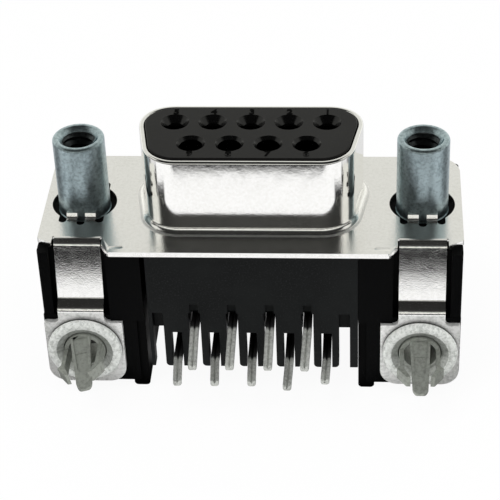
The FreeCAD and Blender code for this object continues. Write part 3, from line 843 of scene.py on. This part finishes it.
def front_shell():
    shell = flange_plate()
    combine(shell, [cup_outside()], "UNION")
    combine(shell, [cup_inside(), cup_mouth()], "DIFFERENCE")
    for side in (-1, 1):
        combine(shell, post_cuts(side) + [dimple(side)], "DIFFERENCE")
        combine(shell, fingers(side), "UNION")
    strap = ground_strap()
    combine(shell, [strap, mirrored(strap, "strap_left")], "UNION")
    outwards(shell)
    shell.name = "shell_plate"
    soften(shell, shell_edge, shell_crease)
    finish_piece(shell, shell_plating, ["front_shell"])
    line_faces(shell, pad_plating, lambda centre: centre.z < pad_finish_top)


# Mating-face block

def contact_places():
    """Number, x and y of each contact hole; 1 is at the right of the far row."""
    places = []
    for count, first, y in ((5, 5, row_y), (4, 9, -row_y)):
        places += [(first - i, (i - (count - 1) / 2) * contact_pitch, y) for i in range(count)]
    return places


def hole_cutter(x, y):
    """Funnel, narrow entry and cavity of one contact."""
    top = face_front - digit_rise
    points = [(0, top + past), (funnel_radius, top + past), (funnel_radius, top),
              (entry_radius, top - funnel_depth), (entry_radius, top - entry_depth),
              (cavity_radius, top - entry_depth), (cavity_radius, collar_back - past),
              (0, collar_back - past)]
    cutter = lathe("hole", points, steps=48)
    cutter.data.transform(Matrix.Translation((x, y, 0)))
    return cutter


def face_block():
    """Block in the cup with its collar and nine holes, which have a smoother finish and painted
    shade inside.
    """
    inset = sheet + face_gap
    top = face_front - digit_rise
    places = contact_places()
    rings = [(inset, collar_back)]
    rings += [(inset + a, b) for a, b in arc((face_edge, top - face_edge), face_edge, 180, 90, 4)]
    body = d_solid("socket_face", rings, steps=12)
    low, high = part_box("face_insulator")
    corners = rectangle(low.x / mm, high.x / mm, low.y / mm, high.y / mm, collar_corner)
    collar = slab("collar", corners, collar_back, housing_front, steps=3)
    combine(body, [collar], "UNION")
    combine(body, [hole_cutter(x, y) for number, x, y in places], "DIFFERENCE")
    finish_piece(body, face_plastic, ["face_insulator"])

    def in_hole(centre):
        inside = any(math.hypot(centre.x - x, centre.y - y) < funnel_radius
                     for number, x, y in places)
        return inside and collar_back + near < centre.z < top - near

    # Painted shade: the faces inside the holes get the darker plastic
    line_faces(body, hole_plastic_painted_shade, in_hole)


def digits():
    """Small raised numbers beside the contact holes, coloured near black as painted shade."""
    made = []
    for number, x, y in contact_places():
        bpy.ops.object.text_add(location=(0, 0, 0))
        text = bpy.context.object
        text.data.body = str(number)
        text.data.size = digit_height / digit_share
        text.data.extrude = digit_rise
        text.data.offset = digit_swell
        text.data.align_x = "CENTER"
        text.data.align_y = "CENTER"
        bpy.ops.object.convert(target="MESH")
        text = bpy.context.object
        offset = digit_offset if y > 0 else -digit_offset
        text.data.transform(Matrix.Translation((x, y + offset, face_front - digit_rise)))
        made.append(text)
    join(made)
    made[0].name = "face_digits"
    finish_piece(made[0], digit_relief_painted_shade, [])


# Screwlocks

def thread_ridge():
    """Helical ridge on the wall of a post's bore."""
    bpy.ops.mesh.primitive_circle_add(vertices=3, radius=1, fill_type="NGON")
    ridge = bpy.context.object
    base = bore_radius + thread_root
    start = bore_bottom + thread_start
    rise = thread_pitch - thread_flat
    corners = ((base, 0, start), (thread_crest, 0, start + rise / 2), (base, 0, start + rise))
    for vertex, place in zip(ridge.data.vertices, corners):
        vertex.co = place
    steps = thread_steps * thread_turns
    modify(ridge, "SCREW", angle=2 * math.pi * thread_turns,
           screw_offset=thread_pitch * thread_turns, steps=steps, render_steps=steps,
           axis="Z", use_merge_vertices=True)
    outwards(ridge)
    return ridge


def screwlock(side, name):
    """Turned post with a rounded top, a chamfered mouth and a threaded bore."""
    foot = post_radius + post_foot
    points = [(0, stem_end), (stem_radius, stem_end), (stem_radius, -sheet), (foot, -sheet),
              (foot, foot_top[0] - sheet), (post_radius, foot_top[1] - sheet)]
    points += arc((post_radius - post_edge, post_height - post_edge), post_edge, 0, 90, 6)
    points += [(mouth_radius, post_height),
               (mouth_radius - mouth_break[0], post_height - mouth_break[1]),
               (thread_crest + mouth_clear, post_height - mouth_depth),
               (thread_crest + throat_clear, post_height - throat_depth),
               (bore_radius, post_height - bore_top), (bore_radius, bore_bottom), (0, bore_tip)]
    post = lathe(name.replace("screwlock", "post"), points)
    join([post, thread_ridge()])
    post.data.transform(Matrix.Translation((side * jack_x, 0, 0)))
    finish_piece(post, post_plating, [name])
    # The bore below the mouth gets painted shade, a darker plating colour that stands for the
    # shade inside it
    line_faces(post, post_bore_painted_shade, lambda centre: 0 < centre.z < post_height - bore_shade and
               math.hypot(centre.x - side * jack_x, centre.y) < mouth_radius)


# Eyelets

def eyelet(side, name):
    """Rolled ring on the pad, barrel through the foot and flared end behind it."""
    face = -ring_face
    back = -flare_y
    under = face - ring_thickness
    tail = back - flare_thickness
    mouth = (eyelet_mouth, face - eyelet_break[1])
    points = [mouth, (eyelet_mouth + eyelet_break[0], face)]
    points += arc((ring_radius - ring_edge, face - ring_edge), ring_edge, 90, 0, 7)
    points += [(ring_radius, under + ring_break), (ring_radius - ring_break, under),
               (barrel_radius, under), (barrel_radius, back), (flare_radius, back)]
    points += arc((flare_radius - flare_edge, tail + flare_edge), flare_edge, 0, -90, 4)
    points += arc((eyelet_bore + flare_edge, tail + flare_edge), flare_edge, -90, -180, 4)
    points += [(eyelet_bore, face - eyelet_lead - lead_blend[1]),
               (eyelet_bore + lead_blend[0], face - eyelet_lead), mouth]
    ring = lathe(name.replace("eyelet", "ring"), points)
    ring.data.transform(Matrix.Rotation(math.pi / 2, 4, "X"))
    ring.data.transform(Matrix.Translation((side * eyelet_x, 0, eyelet_z)))
    finish_piece(ring, eyelet_plating, [name])

    def off_axis(centre):
        return math.hypot(centre.x - side * eyelet_x, centre.z - eyelet_z)

    wall = (eyelet_bore + barrel_radius) / 2
    # The mouth gets painted shade
    line_faces(ring, eyelet_mouth_plating, lambda centre:
               centre.y > eyelet_break[1] - face and off_axis(centre) < eyelet_mouth)
    # The bore and the ring's outer edge get painted shade, a dark shadow line round the ring
    line_faces(ring, eyelet_bore_plating, lambda centre:
               flare_y > centre.y > eyelet_lead - face and off_axis(centre) < wall or
               centre.y > ring_edge - face and off_axis(centre) > ring_radius - ring_break)


# Pieces

front_shell()
face_block()
digits()
for side, word in ((-1, "left"), (1, "right")):
    screwlock(side, "screwlock_" + word)
    eyelet(side, "eyelet_" + word)
for word in ("left", "right"):
    name = "boardlock_" + word
    finish_piece(dressed_copy(name, lock_edge), lock_tin, [name])
for number in sorted(number for number, x, y in contact_places()):
    name = "contact_%d" % number
    finish_piece(dressed_copy(name, contact_edge), contact_tin, [name])
for name, plastic in (("contact_block", housing_plastic), ("bracket", bracket_plastic)):
    finish_piece(dressed_copy(name, plastic_edge), plastic, [name])


# Floor, light and camera

def floor():
    """Pale floor under the rear ends of the side walls, with dark zones in reflections."""
    low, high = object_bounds()
    bpy.ops.mesh.primitive_plane_add(size=floor_size, location=(0, 0, low.z))
    ground = bpy.context.object
    ground.name = "floor"
    material = bpy.data.materials.new("floor_white")
    material.use_nodes = True
    tree = material.node_tree
    shader = tree.nodes["Principled BSDF"]
    shader.inputs["Base Color"].default_value = (0.95, 0.95, 0.95, 1)
    shader.inputs["Roughness"].default_value = 0.9
    shader.inputs["Specular IOR Level"].default_value = 0.1
    x, y, z = split(tree, "Object")
    turn = turn_from_front(tree, calculate(tree, "ABSOLUTE", x), y)
    radius = calculate(tree, "SQRT", plus(tree, times(tree, x, x), times(tree, y, y)))
    outside = times(tree, spread(tree, radius, floor_circle - floor_fade,
                                 floor_circle + floor_fade, 0, 1),
                    spread(tree, turn, *floor_sector, 1, 0))
    flags = larger(tree, levels_by_turn(tree, turn, floor_flags), outside)
    reach = spread(tree, y, floor_edge - floor_fade, floor_edge + floor_fade, floor_dark, 1)
    path = tree.nodes.new("ShaderNodeLightPath").outputs
    in_mirror = times(tree, times(tree, flags, reach), path["Is Glossy Ray"])
    glow = tree.nodes.new("ShaderNodeEmission")
    tree.links.new(larger(tree, path["Is Camera Ray"], in_mirror), glow.inputs["Strength"])
    seen = times(tree, path["Is Camera Ray"], floor_whiteness)
    mix = tree.nodes.new("ShaderNodeMixShader")
    tree.links.new(larger(tree, seen, path["Is Glossy Ray"]), mix.inputs["Fac"])
    tree.links.new(shader.outputs["BSDF"], mix.inputs[1])
    tree.links.new(glow.outputs["Emission"], mix.inputs[2])
    tree.links.new(mix.outputs["Shader"], tree.nodes["Material Output"].inputs["Surface"])
    ground.data.materials.append(material)
    ground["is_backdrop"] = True


def studio():
    """World that is white to the eye, with a pale back wall and a dark room in reflections."""
    world = bpy.data.worlds.new("studio")
    bpy.context.scene.world = world
    world.use_nodes = True
    tree = world.node_tree
    x, y, z = split(tree, "Generated")
    room = levels_by_turn(tree, turn_from_front(tree, z, y), room_levels)
    sideways = turn_from_front(tree, calculate(tree, "ABSOLUTE", x), y)
    strip = times(tree, levels_by_turn(tree, sideways, side_strip), levels(tree, z, strip_heights))
    tint = blend_colour(tree, 1.0, larger(tree, room, strip), room_tint, "MULTIPLY")
    path = tree.nodes.new("ShaderNodeLightPath").outputs
    lit = blend_colour(tree, path["Is Glossy Ray"], room_light, tint)
    seen = blend_colour(tree, path["Is Camera Ray"], lit, (1, 1, 1, 1))
    tree.links.new(seen, tree.nodes["Background"].inputs["Color"])


def lamp(name, place, size, watts):
    """Soft round lamp that faces the part and doesn't show in reflections."""
    bpy.ops.object.light_add(type="AREA", location=place)
    light = bpy.context.object
    light.name = name
    light.data.shape = "DISK"
    light.data.size = size
    light.data.energy = watts
    light.visible_glossy = False
    light.rotation_mode = "QUATERNION"
    light.rotation_quaternion = (Vector((0, 0, 0)) - Vector(place)).to_track_quat("-Z", "Y")


def camera():
    """Camera at the photograph's place, from its angles, distance and focal length."""
    azimuth = math.radians(4.73)
    elevation = math.radians(36.17)
    roll = math.radians(-2.41)
    distance = 0.13615
    target = Vector((-0.00016, -0.00210, -0.00277))
    back = Vector((math.sin(azimuth) * math.cos(elevation),
                   -math.cos(azimuth) * math.cos(elevation), math.sin(elevation)))
    right = Vector((math.cos(azimuth), math.sin(azimuth), 0))
    up = back.cross(right)
    side = math.cos(roll) * right + math.sin(roll) * up
    top = math.cos(roll) * up - math.sin(roll) * right
    bpy.ops.object.camera_add()
    view = bpy.context.object
    view.matrix_world = Matrix((side, top, back)).transposed().to_4x4()
    view.location = target + back * distance
    view.data.sensor_width = 36
    view.data.lens = 132.6
    view.data.clip_start = 0.005
    view.data.clip_end = 10
    bpy.context.scene.camera = view


floor()
studio()
lamp("key_box", (-0.12, -0.16, 0.36), 0.25, 0.6)
lamp("fill_box", (0.28, -0.1, 0.24), 0.25, 0.25)
camera()
bpy.context.scene.view_settings.view_transform = "Standard"
